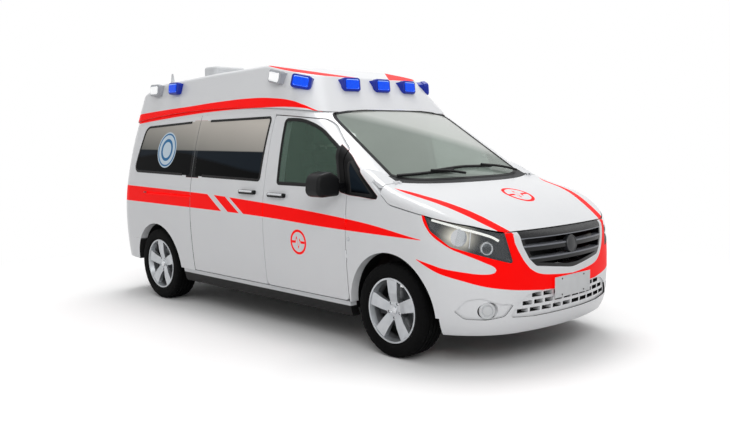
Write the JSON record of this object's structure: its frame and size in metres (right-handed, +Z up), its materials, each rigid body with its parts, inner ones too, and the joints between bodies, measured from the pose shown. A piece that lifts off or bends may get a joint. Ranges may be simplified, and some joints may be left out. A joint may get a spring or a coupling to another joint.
{
  "type": "ambulance",
  "caption": "Mid-size panel van ambulance with a raised roof, roof warning lamps, hinged cab doors, twin rear doors, bonnet, steered front wheels and a patient compartment.",
  "frame": {"origin": "on the ground under the middle of the overall box", "axes": "+X towards the nose, +Y towards the vehicle's left side, +Z up"},
  "size_m": [4.895, 2.3884, 2.26],
  "materials": {
    "body_paint": "gloss",
    "roof_paint": "gloss",
    "bumper_paint": "gloss",
    "dark_glass": "gloss",
    "clear_glass": "gloss",
    "black_plastic": "matte",
    "lamp_clear": "gloss",
    "lamp_red": "gloss",
    "lamp_blue": "gloss",
    "lamp_white": "gloss",
    "alloy": "satin",
    "tyre": "matte",
    "steel": "satin",
    "floor_steel": "matte",
    "cabin_plastic": "matte",
    "seat_fabric": "matte",
    "mattress_cover": "satin",
    "bright_steel": "satin"
  },
  "bodies": {
    "body": {"blue_lamps": "lamp_blue", "bulkhead": "cabin_plastic", "cab_frame": "body_paint", "cowl": "black_plastic", "dashboard": "cabin_plastic", "engine": "steel", "exhaust": "bright_steel", "firewall": "floor_steel", "floor_pan": "floor_steel", "front_bumper": "bumper_paint", "front_seats": "seat_fabric", "front_subframe": "steel", "fuel_tank": "cabin_plastic", "grille": "black_plastic", "head_lamps": "lamp_clear", "rear_axle": "steel", "rear_bumper": "bumper_paint", "roof_cap": "roof_paint", "roof_fittings": "roof_paint", "side_wall_left": "body_paint", "side_wall_right": "body_paint", "side_windows": "dark_glass", "slide_handle": "black_plastic", "sliding_door": "body_paint", "steering_wheel": "cabin_plastic", "stretcher_frame": "bright_steel", "stretcher_mattress": "mattress_cover", "tail_lamps": "lamp_red", "wheel_arch_liners": "black_plastic", "white_lamps": "lamp_white", "windscreen": "clear_glass", "wing_left": "body_paint", "wing_right": "body_paint"},
    "knuckle_left": {"knuckle_left": "steel"},
    "wheel_front_left": {"tyre_front_left": "tyre", "rim_front_left": "alloy"},
    "wheel_rear_left": {"tyre_rear_left": "tyre", "rim_rear_left": "alloy"},
    "front_door_left": {"front_door_left": "body_paint", "door_glass_left": "clear_glass", "mirror_left": "black_plastic", "handle_left": "black_plastic"},
    "tail_door_left": {"tail_door_left": "body_paint", "tail_glass_left": "dark_glass"},
    "knuckle_right": {"knuckle_right": "steel"},
    "wheel_front_right": {"tyre_front_right": "tyre", "rim_front_right": "alloy"},
    "wheel_rear_right": {"tyre_rear_right": "tyre", "rim_rear_right": "alloy"},
    "front_door_right": {"front_door_right": "body_paint", "door_glass_right": "clear_glass", "mirror_right": "black_plastic", "handle_right": "black_plastic"},
    "tail_door_right": {"tail_door_right": "body_paint", "tail_glass_right": "dark_glass"},
    "bonnet": {"bonnet": "body_paint"}
  },
  "joints": [
    {"name": "steer_left", "type": "hinge", "parent": "body", "child": "knuckle_left", "pos_m": [1.5525, 0.77, 0.2], "axis": [0, -0.1813, 0.9834], "range_deg": [-35, 35]},
    {"name": "roll_front_left", "type": "hinge", "parent": "knuckle_left", "child": "wheel_front_left", "pos_m": [1.5525, 0.83, 0.338], "axis": [0, 1, 0], "continuous": true},
    {"name": "roll_rear_left", "type": "hinge", "parent": "body", "child": "wheel_rear_left", "pos_m": [-1.6475, 0.83, 0.338], "axis": [0, 1, 0], "continuous": true},
    {"name": "open_front_left", "type": "hinge", "parent": "body", "child": "front_door_left", "pos_m": [1.1185, 0.964, 0.82], "axis": [0, 0, -1], "range_deg": [0, 68]},
    {"name": "open_tail_left", "type": "hinge", "parent": "body", "child": "tail_door_left", "pos_m": [-2.3988, 0.7605, 0.68], "axis": [0, 0, -1], "range_deg": [0, 90]},
    {"name": "steer_right", "type": "hinge", "parent": "body", "child": "knuckle_right", "pos_m": [1.5525, -0.77, 0.2], "axis": [0, 0.1813, 0.9834], "range_deg": [-35, 35]},
    {"name": "roll_front_right", "type": "hinge", "parent": "knuckle_right", "child": "wheel_front_right", "pos_m": [1.5525, -0.83, 0.338], "axis": [0, 1, 0], "continuous": true},
    {"name": "roll_rear_right", "type": "hinge", "parent": "body", "child": "wheel_rear_right", "pos_m": [-1.6475, -0.83, 0.338], "axis": [0, 1, 0], "continuous": true},
    {"name": "open_front_right", "type": "hinge", "parent": "body", "child": "front_door_right", "pos_m": [1.1185, -0.964, 0.82], "axis": [0, 0, 1], "range_deg": [0, 68]},
    {"name": "open_tail_right", "type": "hinge", "parent": "body", "child": "tail_door_right", "pos_m": [-2.3988, -0.7605, 0.68], "axis": [0, 0, 1], "range_deg": [0, 90]},
    {"name": "open_bonnet", "type": "hinge", "parent": "body", "child": "bonnet", "pos_m": [1.4665, 0, 1.235], "axis": [0, -1, 0], "range_deg": [0, 50]}
  ],
  "couplings": [
    {"joint": "steer_right", "follows": "steer_left", "ratio": 1}
  ]
}
